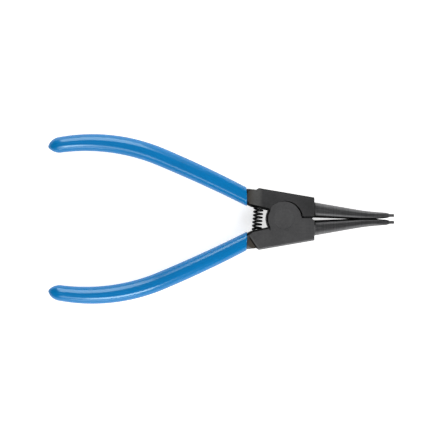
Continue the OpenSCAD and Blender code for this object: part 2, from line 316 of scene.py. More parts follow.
class NodeGroup(Tree):
    """A node group with named inputs and outputs, built once."""

    def __init__(self, name: str, kind: str) -> None:
        """Makes an empty group.

        Args:
            name: Name of the group.
            kind: Blender's name of its tree type.
        """
        super().__init__(bpy.data.node_groups.new(name, kind))
        self.entry = self.tree.nodes.new("NodeGroupInput")
        self.exit = self.tree.nodes.new("NodeGroupOutput")

    def input(self, name: str, kind: str, default: object = None) -> Socket:
        """Adds a named input.

        Args:
            name: Name of the input.
            kind: Blender's name of its socket type.
            default: Its value where nothing else is given.

        Returns:
            The socket that carries it inside the group.
        """
        item = self.tree.interface.new_socket(name, in_out="INPUT", socket_type=kind)
        if default is not None:
            item.default_value = default
        return self.entry.outputs[name]

    def number(self, name: str, default: float = 0.0) -> Field:
        """Adds a named number and returns it as a field."""
        return self.field(self.input(name, "NodeSocketFloat", default))

    def numbers(self, *names: str) -> list[Field]:
        """Adds several named numbers."""
        return [self.number(name) for name in names]

    def output(self, name: str, value: object, kind: str = "NodeSocketFloat") -> None:
        """Adds a named output and feeds it."""
        self.tree.interface.new_socket(name, in_out="OUTPUT", socket_type=kind)
        self.feed(self.exit.inputs[name], value)

    def output_mesh(self, mesh: Socket, material: Socket) -> None:
        """Ends a geometry tree with its mesh shaded smooth, made real and dressed.

        Args:
            mesh: The tree's mesh.
            material: The input that carries its material.
        """
        smooth = self.add("GeometryNodeSetShadeSmooth", Geometry=mesh)
        real = self.add("GeometryNodeRealizeInstances", Geometry=smooth.outputs["Geometry"])
        dressed = self.add("GeometryNodeSetMaterial", Geometry=real.outputs["Geometry"], Material=material)
        self.output("Geometry", dressed.outputs["Geometry"], "NodeSocketGeometry")


class ShaderGroups:
    """The surface effects that several finishes share, each built once."""

    PIT_DETAIL = 3.0
    SCRATCH_DETAIL = 2.0
    EDGE_SAMPLES = 4
    EDGE_GAIN = 9.0
    PATCH_SCALE = 900.0
    PATCH_DETAIL = 3.0
    PATCH_FROM = 0.3
    PATCH_GAIN = 2.2
    SLOW_DETAIL = 2.0
    SLOW_SHARE = 1.2
    QUICK_DETAIL = 4.0
    QUICK_SHARE = 0.8

    def __init__(self) -> None:
        """Builds every group."""
        self.grain = self._grain()
        self.edge_wear = self._edge_wear()
        self.mottle = self._mottle()

    @staticmethod
    def _noise(tree: Tree, vector: Socket, scale: Number, detail: float) -> Field:
        """Fractal noise over a vector, as a number around one half."""
        node = tree.add("ShaderNodeTexNoise", Vector=vector, Detail=detail, Scale=scale)
        return tree.field(node.outputs["Fac"])

    def _grain(self) -> bpy.types.NodeTree:
        """Fine pits, and scratches that run along one direction of the pattern.

        Returns:
            The group.
        """
        group = NodeGroup("surface_grain", "ShaderNodeTree")
        place = group.input("Vector", "NodeSocketVector")
        pit_scale = group.number("Pit Scale", 3000.0)
        scratch_scale = group.number("Scratch Scale", 1500.0)
        stretch = group.number("Stretch", 12.0)
        share = group.number("Scratch Share", 0.5)
        x, y, z = group.axes(place)
        drawn = group.add("ShaderNodeCombineXYZ", X=x / stretch, Y=y, Z=z)
        pits = self._noise(group, place, pit_scale, self.PIT_DETAIL)
        scratches = self._noise(group, drawn.outputs["Vector"], scratch_scale, self.SCRATCH_DETAIL)
        group.output("Height", pits * share.less_from(1.0) + scratches * share)
        group.output("Scratches", scratches)
        return group.tree

    def _edge_wear(self) -> bpy.types.NodeTree:
        """A mask of the edges that handling rubs bright, broken up by noise.

        Returns:
            The group.
        """
        group = NodeGroup("edge_wear", "ShaderNodeTree")
        place = group.input("Vector", "NodeSocketVector")
        radius = group.number("Radius", 0.3 * MM)
        strength = group.number("Strength", 1.0)
        rounded = group.add("ShaderNodeBevel", {"samples": self.EDGE_SAMPLES}, Radius=radius)
        true = group.add("ShaderNodeNewGeometry")
        match = group.vectors("DOT_PRODUCT", rounded.outputs["Normal"], true.outputs["Normal"])
        edge = (group.field(match.outputs["Value"]).less_from(1.0) * self.EDGE_GAIN).clamped()
        patches = self._noise(group, place, self.PATCH_SCALE, self.PATCH_DETAIL)
        patchy = ((patches - self.PATCH_FROM) * self.PATCH_GAIN).clamped()
        group.output("Mask", edge * patchy * strength)
        return group.tree

    def _mottle(self) -> bpy.types.NodeTree:
        """Slow and quick changes of tone over a surface, around 1.

        Returns:
            The group.
        """
        group = NodeGroup("mottle", "ShaderNodeTree")
        place = group.input("Vector", "NodeSocketVector")
        slow = group.number("Slow Scale", 60.0)
        quick = group.number("Quick Scale", 900.0)
        depth = group.number("Depth", 0.2)
        broad = (self._noise(group, place, slow, self.SLOW_DETAIL) - 0.5) * self.SLOW_SHARE
        fine = (self._noise(group, place, quick, self.QUICK_DETAIL) - 0.5) * self.QUICK_SHARE
        group.output("Tone", (broad + fine) * depth + 1.0)
        return group.tree


class Finish:
    """A material that is written as nodes over the piece's own coordinates."""

    def __init__(self, name: str) -> None:
        """Makes the material with its shader and coordinates.

        Args:
            name: Name of the material.
        """
        self.material = bpy.data.materials.new(name)
        self.material.use_nodes = True
        self.nodes = Tree(self.material.node_tree)
        self.shader = self.material.node_tree.nodes["Principled BSDF"]
        self.coordinates = self.nodes.add("ShaderNodeTexCoord")

    @cached_property
    def place(self) -> Spot:
        """Place on the piece."""
        return self.nodes.axes(self.coordinates.outputs["Object"])

    @cached_property
    def facing(self) -> Spot:
        """Way that the surface faces, along the piece's own axes."""
        return self.nodes.axes(self.coordinates.outputs["Normal"])

    def group(self, group: bpy.types.NodeTree, **inputs: object) -> bpy.types.Node:
        """Places a shared effect over Object coordinates."""
        place = self.coordinates.outputs["Object"]
        return self.nodes.add("ShaderNodeGroup", {"node_tree": group}, Vector=place, **inputs)

    def mix(self, share: object, low: object, high: object, blend: Blend = Blend.MIX) -> Socket:
        """Puts two colours together by a share from 0 to 1.

        Args:
            share: How far the second colour counts.
            low: The first colour, as a tone or a socket.
            high: The second colour, as a tone, a socket or a field.
            blend: How they are put together.

        Returns:
            The colour.
        """
        settings = {"data_type": "RGBA", "clamp_factor": True, "blend_type": blend.value}
        node = self.nodes.add("ShaderNodeMix", settings)
        for index, value in zip(MIX_INPUTS, (share, low, high)):
            self.nodes.feed(node.inputs[index], linear(value) if isinstance(value, tuple) else value)
        return node.outputs[MIX_RESULT]

    def toned(self, colour: object, tone: object) -> Socket:
        """Multiplies a colour by a tone that varies over the surface."""
        return self.mix(1.0, colour, tone, Blend.MULTIPLY)

    def bump(self, height: Socket, strength: float, depth_mm: float) -> None:
        """Feeds a height to the shader's normal."""
        node = self.nodes.add("ShaderNodeBump", Strength=strength, Distance=depth_mm * MM, Height=height)
        self.nodes.feed(self.shader.inputs["Normal"], node.outputs["Normal"])

    def set(self, **values: object) -> None:
        """Sets or links inputs of the shader, by name with underscores for spaces."""
        for name, value in values.items():
            self.nodes.feed(self.shader.inputs[name.replace("_", " ")], value)


@dataclass(frozen=True)
class BurnishedSteel:
    """Dark oiled tool steel, ground on its faces, brown from the forge beside the grips, with painted light
    and shade.

    A span named *_mm is where a tone starts and where it is full. A span named *_facing does the same by how
    far the surface faces up, or towards the other half. The other half lies along Y by the sign of inward.
    """

    name: str
    ground: Tone
    neck: Tone
    # Tone of the outward-facing edges: a painted highlight on the lower half, painted shade on the upper
    # half.
    outer_edge: Tone
    inward: float
    # Width of the painted shade band along the necks' inner edges, and the near-black tone of all painted
    # shade.
    neck_band_mm: Span = (1.0, 0.75)
    shade: Tone = (4, 4, 4)
    turned: Tone = (84, 84, 85)
    # Painted sheen on the outward-facing flank of the jaw.
    flank: Tone = (110, 110, 111)
    pin: Tone = (102, 102, 103)
    worn: Tone = (150, 150, 152)
    stain: Tone = (83, 78, 72)
    wall: Tone = (68, 68, 69)
    # Painted shade on the walls and jaw sides that face the other half.
    inner_wall: Tone = (30, 30, 30)
    # Painted shadow along the slanted crease, and a painted highlight on its lit edge.
    groove: Tone = (26, 24, 22)
    crest: Tone = (111, 111, 112)
    crest_share: float = 0.6
    thickness_mm: float = 9.6
    neck_mm: Span = (-8.0, -9.0)
    neck_depth_mm: Span = (0.0, 0.5)
    neck_edge_mm: float = 2.1115
    neck_slope: float = 0.235
    stain_mm: Span = (-14.6, -19.2)
    crease_x_mm: float = -18.9
    crease_y_mm: float = 7.86
    crease_turn_deg: float = 34.5
    crease_side_mm: Span = (0.0, 0.1)
    crease_stain_mm: Span = (0.1, -0.3)
    crest_rise_mm: Span = (0.3, 0.6)
    crest_fall_mm: Span = (1.4, 0.9)
    groove_mm: Span = (0.55, 0.15)
    disc_back_mm: Span = (-6.6, -7.4)
    disc_rim_mm: Span = (8.05, 8.3)
    disc_edge_mm: Span = (9.25, 9.2)
    jaw_mm: Span = (16.0, 16.8)
    pin_mm: Span = (54.6, 55.4)
    flat_facing: Span = (0.86, 0.97)
    wall_facing: Span = (0.45, 0.3)
    inner_facing: Span = (0.15, 0.45)
    jaw_inner_facing: Span = (0.58, 0.82)
    flank_facing: Span = (-0.2, -0.6)
    rings_per_mm: float = 1.3
    ring_depth: float = 0.5
    roughness: float = 0.52
    jaw_roughness: float = 0.34
    roughness_spread: float = 0.16
    metallic: float = 0.9
    bump: float = 0.25
    bump_mm: float = 0.04

    def build(self, groups: ShaderGroups) -> bpy.types.Material:
        """Writes the material.

        Args:
            groups: The shared effects.

        Returns:
            The finished material.
        """
        finish = Finish(self.name)
        grain = finish.group(
            groups.grain, Pit_Scale=2600.0, Scratch_Scale=1400.0, Stretch=14.0, Scratch_Share=0.45
        )
        wear = finish.group(groups.edge_wear, Radius=0.28 * MM, Strength=0.15)
        mottle = finish.group(groups.mottle, Slow_Scale=90.0, Quick_Scale=1100.0, Depth=0.55)
        jaw = finish.place[0].ramp(self.jaw_mm, MM)
        colour = finish.mix(jaw, self._head_tone(finish), self._jaw_tone(finish))
        toned = finish.toned(colour, mottle.outputs["Tone"])
        rubbed = finish.mix(wear.outputs["Mask"], toned, self.worn)
        smooth = jaw * (self.jaw_roughness - self.roughness) + self.roughness
        rough = smooth + finish.nodes.field(grain.outputs["Scratches"]) * self.roughness_spread
        finish.set(Base_Color=rubbed, Metallic=self.metallic, Roughness=rough)
        finish.bump(grain.outputs["Height"], self.bump, self.bump_mm)
        return finish.material

    def _inner_bands(self, finish: Finish) -> Field:
        """Mask of the painted shade: black bands along the back of the disc and the inner edges of the
        necks.

        Args:
            finish: The material.

        Returns:
            The mask.
        """
        x, y, _ = finish.place
        back = x.ramp(self.disc_back_mm, MM)
        radius = (x * x + y * y) ** 0.5
        rim = radius.ramp(self.disc_rim_mm, MM)
        inside_disc = radius.ramp(self.disc_edge_mm, MM)
        from_edge = y.size() + x * self.neck_slope - self.neck_edge_mm * MM
        along_neck = from_edge.ramp(self.neck_band_mm, MM)
        return (rim * inside_disc).at_least(along_neck * inside_disc.less_from(1.0)) * back

    def _head_tone(self, finish: Finish) -> Socket:
        """Colour of the head and the neck: ground faces, painted shade on the inner edges, painted shading
        on the outer edges, brown beside the grip.

        Args:
            finish: The material.

        Returns:
            The colour.
        """
        x, _, z = finish.place
        depth = z.at_most(z.less_from(self.thickness_mm * MM))
        neck = depth.ramp(self.neck_depth_mm, MM) * x.ramp(self.neck_mm, MM)
        flats = finish.mix(neck, self.ground, self.neck)
        browned = self._browned(finish, flats)
        # Painted shade: black bands where shade falls round the back of the disc and along the necks.
        shade_banded = finish.mix(self._inner_bands(finish), browned, self.shade)
        upright = finish.facing[2].size()
        wall = upright.ramp(self.wall_facing)
        # Painted light and shade on the outward-facing edges.
        outer = finish.mix(wall, self.outer_edge, self.wall)
        # Painted shade on the chamfers and walls that face the other half.
        inner_shade = finish.mix(wall, self.shade, self.inner_wall)
        inwards = (finish.facing[1] * self.inward).ramp(self.inner_facing)
        edges = finish.mix(inwards, outer, inner_shade)
        return finish.mix(upright.ramp(self.flat_facing), edges, shade_banded)

    def _browned(self, finish: Finish, flats: Socket) -> Socket:
        """Browns the neck beside the grip, on one face up to a slanted crease, with a painted shadow along
        the crease and a painted highlight beside it.

        Args:
            finish: The material.
            flats: Colour of the faces.

        Returns:
            The colour.
        """
        x, y, z = finish.place
        creased = ((z - self.thickness_mm * MM / 2) * self.inward).ramp(self.crease_side_mm, MM)
        turn = math.radians(self.crease_turn_deg)
        forward = (x - self.crease_x_mm * MM) * math.cos(turn)
        before = forward - (y.size() - self.crease_y_mm * MM) * math.sin(turn)
        straight = x.ramp(self.stain_mm, MM)
        slanted = before.ramp(self.crease_stain_mm, MM)
        # Painted highlight beside the crease and painted shadow along it, where the step in the face would
        # catch light and cast shade.
        crest = before.ramp(self.crest_rise_mm, MM) * before.ramp(self.crest_fall_mm, MM) * creased
        groove = before.size().ramp(self.groove_mm, MM) * creased
        lit = finish.mix(crest * self.crest_share, flats, self.crest)
        stained = finish.mix(straight + (slanted - straight) * creased, lit, self.stain)
        return finish.mix(groove, stained, self.groove)

    def _jaw_tone(self, finish: Finish) -> Socket:
        """Colour of the jaw, with the faint rings of its turning, a painted sheen on its outer flank and
        painted shade on its inner side, and of its lighter pin.

        Args:
            finish: The material.

        Returns:
            The colour.
        """
        x = finish.place[0]
        pin = x.ramp(self.pin_mm, MM)
        inwards = finish.facing[1] * self.inward
        # Painted shade on the side of the jaw that faces the other jaw.
        inner_shade = inwards.ramp(self.jaw_inner_facing) * pin.less_from(1.0)
        # Painted sheen on the outward-facing flank.
        sides = finish.mix(inwards.ramp(self.flank_facing), self.turned, self.flank)
        feed = x * (self.rings_per_mm / MM)
        lathe = finish.nodes.add(
            "ShaderNodeTexNoise", {"noise_dimensions": "1D"}, W=feed, Detail=1.0, Scale=1.0
        )
        rings = (finish.nodes.field(lathe.outputs["Fac"]) - 0.5) * self.ring_depth + 1.0
        outside = finish.mix(pin, finish.toned(sides, rings), self.pin)
        return finish.mix(inner_shade, outside, self.inner_wall)


@dataclass(frozen=True)
class BlackSpringSteel:
    """Black spring wire, drawn smooth."""

    name: str
    tone: Tone = (26, 26, 28)
    metallic: float = 0.8
    roughness: float = 0.25
    roughness_spread: float = 0.2
    bump: float = 0.2
    bump_mm: float = 0.02

    def build(self, groups: ShaderGroups) -> bpy.types.Material:
        """Writes the material.

        Args:
            groups: The shared effects.

        Returns:
            The finished material.
        """
        finish = Finish(self.name)
        mottle = finish.group(groups.mottle, Slow_Scale=300.0, Quick_Scale=2500.0, Depth=0.4)
        grain = finish.group(
            groups.grain, Pit_Scale=5000.0, Scratch_Scale=3000.0, Stretch=1.0, Scratch_Share=0.2
        )
        colour = finish.toned(self.tone, mottle.outputs["Tone"])
        rough = finish.nodes.field(grain.outputs["Scratches"]) * self.roughness_spread + self.roughness
        finish.set(Base_Color=colour, Metallic=self.metallic, Roughness=rough)
        finish.bump(grain.outputs["Height"], self.bump, self.bump_mm)
        return finish.material


@dataclass(frozen=True)
class DippedPlastic:
    """Glossy blue plastic that the warm handles were dipped into."""

    name: str
    tone: Tone = (0, 124, 193)
    gloss_tint: Colour = (0.78, 1.0, 1.0, 1.0)
    gloss_ior: float = 1.5
    roughness: float = 0.11
    roughness_spread: float = 0.1
    bump: float = 0.08
    bump_mm: float = 0.08

    def build(self, groups: ShaderGroups) -> bpy.types.Material:
        """Writes the material.

        Args:
            groups: The shared effects.

        Returns:
            The finished material.
        """
        finish = Finish(self.name)
        mottle = finish.group(groups.mottle, Slow_Scale=45.0, Quick_Scale=500.0, Depth=0.12)
        grain = finish.group(
            groups.grain, Pit_Scale=260.0, Scratch_Scale=900.0, Stretch=1.0, Scratch_Share=0.15
        )
        colour = finish.toned(self.tone, mottle.outputs["Tone"])
        rough = finish.nodes.field(grain.outputs["Scratches"]) * self.roughness_spread + self.roughness
        finish.set(Base_Color=colour, Roughness=rough, IOR=self.gloss_ior, Specular_Tint=self.gloss_tint)
        finish.bump(grain.outputs["Height"], self.bump, self.bump_mm)
        return finish.material


def add_object(name: str, data: bpy.types.ID) -> Piece:
    """Links a new object to the scene.

    Args:
        name: Name of the object.
        data: Its mesh, lamp or camera.

    Returns:
        The object.
    """
    item = bpy.data.objects.new(name, data)
    bpy.context.scene.collection.objects.link(item)
    return item


def settle(piece: Piece) -> None:
    """Turns a piece's modifiers into plain mesh and removes them.

    Args:
        piece: The piece.
    """
    depsgraph = bpy.context.evaluated_depsgraph_get()
    mesh = bpy.data.meshes.new_from_object(piece.evaluated_get(depsgraph), depsgraph=depsgraph)
    piece.modifiers.clear()
    old = piece.data
    piece.data = mesh
    bpy.data.meshes.remove(old)
    mesh.name = piece.name


def tree_sizes(piece: object) -> dict[str, object]:
    """A sub-assembly's fields as values for the inputs of its tree.

    Args:
        piece: The sub-assembly, a dataclass.

    Returns:
        The values by name, such as Nose Length in metres for nose_length_mm.
    """
    sizes = {}
    for name, value in vars(piece).items():
        words = name.split("_")
        if words[-1] in UNITS:
            value *= UNITS[words.pop()]
        sizes[" ".join(words).title()] = value
    return sizes


def grow(name: str, group: bpy.types.NodeTree, sizes: dict[str, object]) -> Piece:
    """Makes a plain mesh object from a Geometry Nodes tree.

    Args:
        name: Name of the new piece.
        group: The tree.
        sizes: Values by name. Those that are inputs of the tree are set.

    Returns:
        The piece, with no modifier left.
    """
    piece = add_object(name, bpy.data.meshes.new(name))
    modifier = piece.modifiers.new("shape", "NODES")
    modifier.node_group = group
    for item in group.interface.items_tree:
        if item.in_out == "INPUT" and item.name in sizes:
            modifier[item.identifier] = sizes[item.name]
    settle(piece)
    return piece


def add_bevel(piece: Piece, width_mm: float, segments: int, sharp_deg: float) -> bpy.types.Modifier:
    """Adds a rounding of all edges that are sharper than an angle.

    Args:
        piece: The piece.
        width_mm: Width of the rounding.
        segments: Faces across it.
        sharp_deg: The angle.

    Returns:
        The modifier.
    """
    bevel = piece.modifiers.new("edges", "BEVEL")
    bevel.width = width_mm * MM
    bevel.segments = segments
    bevel.limit_method = "ANGLE"
    bevel.angle_limit = math.radians(sharp_deg)
    return bevel


def edit_mesh(mesh: bpy.types.Mesh, *steps: MeshStep) -> None:
    """Runs functions over a mesh's editable form.

    Args:
        mesh: The mesh.
        steps: The functions, in order.
    """
    form = bmesh.new()
    form.from_mesh(mesh)
    for step in steps:
        step(form)
    form.to_mesh(mesh)
    form.free()


def merge(form: Form) -> None:
    """Joins corners that lie in one place."""
    bmesh.ops.remove_doubles(form, verts=form.verts, dist=SAME_PLACE_MM * MM)


def face_outwards(form: Form) -> None:
    """Turns every face to point out of its shell."""
    bmesh.ops.recalc_face_normals(form, faces=form.faces)


def close_slivers(form: Form) -> None:
    """Draws together edges that are too short to be rounded."""
    bmesh.ops.remove_doubles(form, verts=form.verts, dist=SLIVER_EDGE_MM * MM)
    bmesh.ops.dissolve_degenerate(form, edges=form.edges, dist=SLIVER_FACE_MM * MM)


def drop_thin_faces(form: Form) -> None:
    """Closes faces that are too thin to be seen."""
    bmesh.ops.remove_doubles(form, verts=form.verts, dist=THIN_FACE_MM * MM)
    bmesh.ops.dissolve_degenerate(form, edges=form.edges, dist=THIN_FACE_MM * MM)


def drop_needles(form: Form) -> None:
    """Removes corners of two edges that turn straight back on themselves.

    Args:
        form: The piece's editable mesh.
    """
    needles = []
    for corner in form.verts:
        if len(corner.link_edges) == 2:
            there, back = (edge.other_vert(corner).co - corner.co for edge in corner.link_edges)
            if there.angle(back, math.pi) < math.radians(NEEDLE_DEG):
                needles.append(corner)
    bmesh.ops.dissolve_verts(form, verts=needles)


def join_flat_faces(form: Form) -> None:
    """Joins triangles that lie in one plane."""
    limit = math.radians(ONE_PLANE_DEG)
    bmesh.ops.dissolve_limit(form, angle_limit=limit, verts=form.verts, edges=form.edges)


def drop_shading(mesh: bpy.types.Mesh) -> None:
    """Removes stored normals and sharp marks, so that new ones follow the rounded edges.

    Args:
        mesh: The piece's mesh.
    """
    for name in ("custom_normal", "sharp_edge", "sharp_face"):
        stored = mesh.attributes.get(name)
        if stored is not None:
            mesh.attributes.remove(stored)


def smooth_all(form: Form) -> None:
    """Shades every face smooth."""
    for face in form.faces:
        face.smooth = True


@dataclass
class EdgedSolid:
    """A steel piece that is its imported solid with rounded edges."""

    node: str
    body: str
    slot: str
    material: bpy.types.Material
    edge_mm: float = 0.13
    edge_segments: int = 2
    sharp_deg: float = 28.0
    crease_deg: float = 2.0
    crease_level: float = 0.9
    ramp_round_mm: float = 1.8
    ramp_segments: int = 4
    ramp_slant: float = 0.2
    head_front_mm: float = 15.5
    plane_front_mm: float = 16.1
    plane_mm2: float = 2.0
    disc_r_mm: float = 9.1
    recess_r_mm: float = 9.9
    recess_gap_mm: float = 0.03
    open_deg: float = 75.0
    closed_deg: float = 100.0
    slit_deg: float = 175.0
    contact_mm: float = 0.06
    contact_gap_mm: float = 0.006

    def creases(self, form: Form) -> list[bmesh.types.BMEdge]:
        """Finds the shallow creases where the faces of the head step down to the neck.

        Args:
            form: The piece's editable mesh.

        Returns:
            The edges.
        """
        return [
            edge
            for edge in form.edges
            if max(corner.co.x for corner in edge.verts) < self.head_front_mm * MM
            and all(abs(face.normal.z) > self.crease_level for face in edge.link_faces)
            and edge.calc_face_angle(0.0) > math.radians(self.crease_deg)
        ]

    def round_ramps(self, form: Form) -> None:
        """Rounds the creases that run straight across the neck, and keeps the slanted ones crisp.

        Args:
            form: The piece's editable mesh.
        """
        across = []
        for edge in self.creases(form):
            run = edge.verts[1].co - edge.verts[0].co
            if abs(run.x) < self.ramp_slant * abs(run.y) and edge.calc_length() > self.ramp_round_mm * MM:
                across.append(edge)
            else:
                edge.smooth = False
        bmesh.ops.bevel(
            form,
            geom=across,
            offset=self.ramp_round_mm * MM,
            segments=self.ramp_segments,
            profile=0.5,
            affect="EDGES",
            clamp_overlap=True,
        )

    def level_planes(self, mesh: bpy.types.Mesh) -> None:
        """Shades the large flat faces of the head flat, whatever meets them at their corners.

        Args:
            mesh: The piece's finished mesh.
        """
        normals = [Vector(corner.vector) for corner in mesh.corner_normals]
        for face in mesh.polygons:
            front = max(mesh.vertices[index].co.x for index in face.vertices)
            if face.area > self.plane_mm2 * MM**2 and front < self.plane_front_mm * MM:
                for corner in face.loop_indices:
                    normals[corner] = face.normal
        mesh.normals_split_custom_set(normals)

    def close_recess(self, mesh: bpy.types.Mesh) -> None:
        """Narrows the gap round the disc where it all but closes beside the neck.

        Args:
            mesh: The piece's finished mesh.
        """
        inside = (self.disc_r_mm + self.recess_gap_mm) * MM
        for corner in mesh.vertices:
            radius = corner.co.xy.length
            if inside < radius < self.recess_r_mm * MM:
                angle = math.degrees(math.atan2(abs(corner.co.y), corner.co.x))
                share = (angle - self.open_deg) / (self.closed_deg - self.open_deg)
                if 0 < share and angle < self.slit_deg:
                    corner.co.xy *= 1 + (inside / radius - 1) * min(share, 1)

    def close_contact(self, mesh: bpy.types.Mesh) -> None:
        """Brings the flats on which the closed jaws meet together, so that no light passes.

        Args:
            mesh: The piece's finished mesh.
        """
        for corner in mesh.vertices:
            if corner.co.x > self.head_front_mm * MM and abs(corner.co.y) < self.contact_mm * MM:
                corner.co.y = math.copysign(self.contact_gap_mm * MM / 2, corner.co.y)

    def build(self, source: Piece) -> Piece:
        """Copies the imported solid, rounds its edges and puts it in the solid's place.

        Args:
            source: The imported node's object.

        Returns:
            The finished piece.
        """
        piece = add_object(f"{self.node}_finished", source.data.copy())
        piece.data.materials.clear()
        piece.data.materials.append(self.material)
        drop_shading(piece.data)
        edit_mesh(piece.data, merge, join_flat_faces, close_slivers, smooth_all, self.round_ramps)
        bevel = add_bevel(piece, self.edge_mm, self.edge_segments, self.sharp_deg)
        bevel.use_clamp_overlap = False
        bevel.harden_normals = True
        settle(piece)
        self.close_recess(piece.data)
        self.close_contact(piece.data)
        edit_mesh(piece.data, drop_thin_faces, drop_needles)
        self.level_planes(piece.data)
        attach(piece, self.body)
        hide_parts(self.node)
        return piece


@dataclass
class ReturnSpring:
    """The compression spring between the necks, with a closed turn at each end."""

    material: bpy.types.Material
    node: str = "return_spring"
    slot: str = "spring_steel"
    wire_mm: float = 1.0
    pitch_mm: float = 1.81
    end_turns: float = 1.0
    end_pitch_mm: float = 1.05
    phase: float = 0.43
    lean_deg: float = 5.0
    turn_tilt: float = -0.06
    steps_per_turn: int = 40
    wire_sides: int = 14

    @staticmethod
    def coil_group() -> bpy.types.NodeTree:
        """Builds the tree that winds a wire along Y, closer at both ends.

        Returns:
            The tree.
        """
        group = NodeGroup("wound_coil", "GeometryNodeTree")
        coil_r, wire_r, turns, pitch = group.numbers("Coil Radius", "Wire Radius", "Turns", "Pitch")
        end_turns, end_pitch = group.numbers("End Turns", "End Pitch")
        phase, lean, tilt = group.numbers("Phase", "Lean", "Turn Tilt")
        steps = group.input("Steps", "NodeSocketInt")
        sides = group.input("Wire Sides", "NodeSocketInt")
        start = group.input("Start", "NodeSocketVector")
        material = group.input("Material", "NodeSocketMaterial")

        line = group.add("GeometryNodeCurvePrimitiveLine")
        wire = group.add("GeometryNodeResampleCurve", Curve=line.outputs["Curve"], Count=steps)
        turn = group.field(group.add("GeometryNodeSplineParameter").outputs["Factor"]) * turns
        active = turns - end_turns * 2.0
        first = turn.at_most(end_turns) * end_pitch
        middle = (turn - end_turns).at_least(0.0).at_most(active) * pitch
        last = (turn - end_turns - active).at_least(0.0) * end_pitch
        rise = first + middle + last
        halfway = (end_turns * end_pitch * 2.0 + active * pitch) / 2.0

        angle = (turn + phase) * math.tau
        side, up = angle.cosine() * coil_r, angle.sine() * coil_r
        leaning = side + (rise - halfway) * lean
        spot = group.add("ShaderNodeCombineXYZ", X=leaning, Y=rise - side * lean + up * tilt, Z=up)
        moved = group.vectors("ADD", spot.outputs["Vector"], start)
        placed = group.add(
            "GeometryNodeSetPosition", Geometry=wire.outputs["Curve"], Position=moved.outputs["Vector"]
        )
        ring = group.add("GeometryNodeCurvePrimitiveCircle", Resolution=sides, Radius=wire_r)
        coil = group.add(
            "GeometryNodeCurveToMesh",
            Curve=placed.outputs["Geometry"],
            Profile_Curve=ring.outputs["Curve"],
            Fill_Caps=True,
        )
        group.output_mesh(coil.outputs["Mesh"], material)
        return group.tree

    def build(self) -> Piece:
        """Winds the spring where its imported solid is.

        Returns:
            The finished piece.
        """
        low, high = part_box(self.node)
        mid_x, mid_z = (low.x + high.x) / 2, (low.z + high.z) / 2
        wire = self.wire_mm * MM
        length = high.y - low.y - wire
        active = (length - 2 * self.end_turns * self.end_pitch_mm * MM) / (self.pitch_mm * MM)
        turns = active + 2 * self.end_turns
        wound = {
            "Coil Radius": (high.x - low.x - wire) / 2,
            "Wire Radius": wire / 2,
            "Turns": turns,
            "Steps": round(turns * self.steps_per_turn),
            "Start": Vector((mid_x, low.y + wire / 2, mid_z)),
        }
        piece = grow(f"{self.node}_wound", self.coil_group(), tree_sizes(self) | wound)
        edit_mesh(piece.data, merge, face_outwards)
        low.y + wire
        high.y - wire
        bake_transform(piece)
        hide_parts(self.node)
        return piece


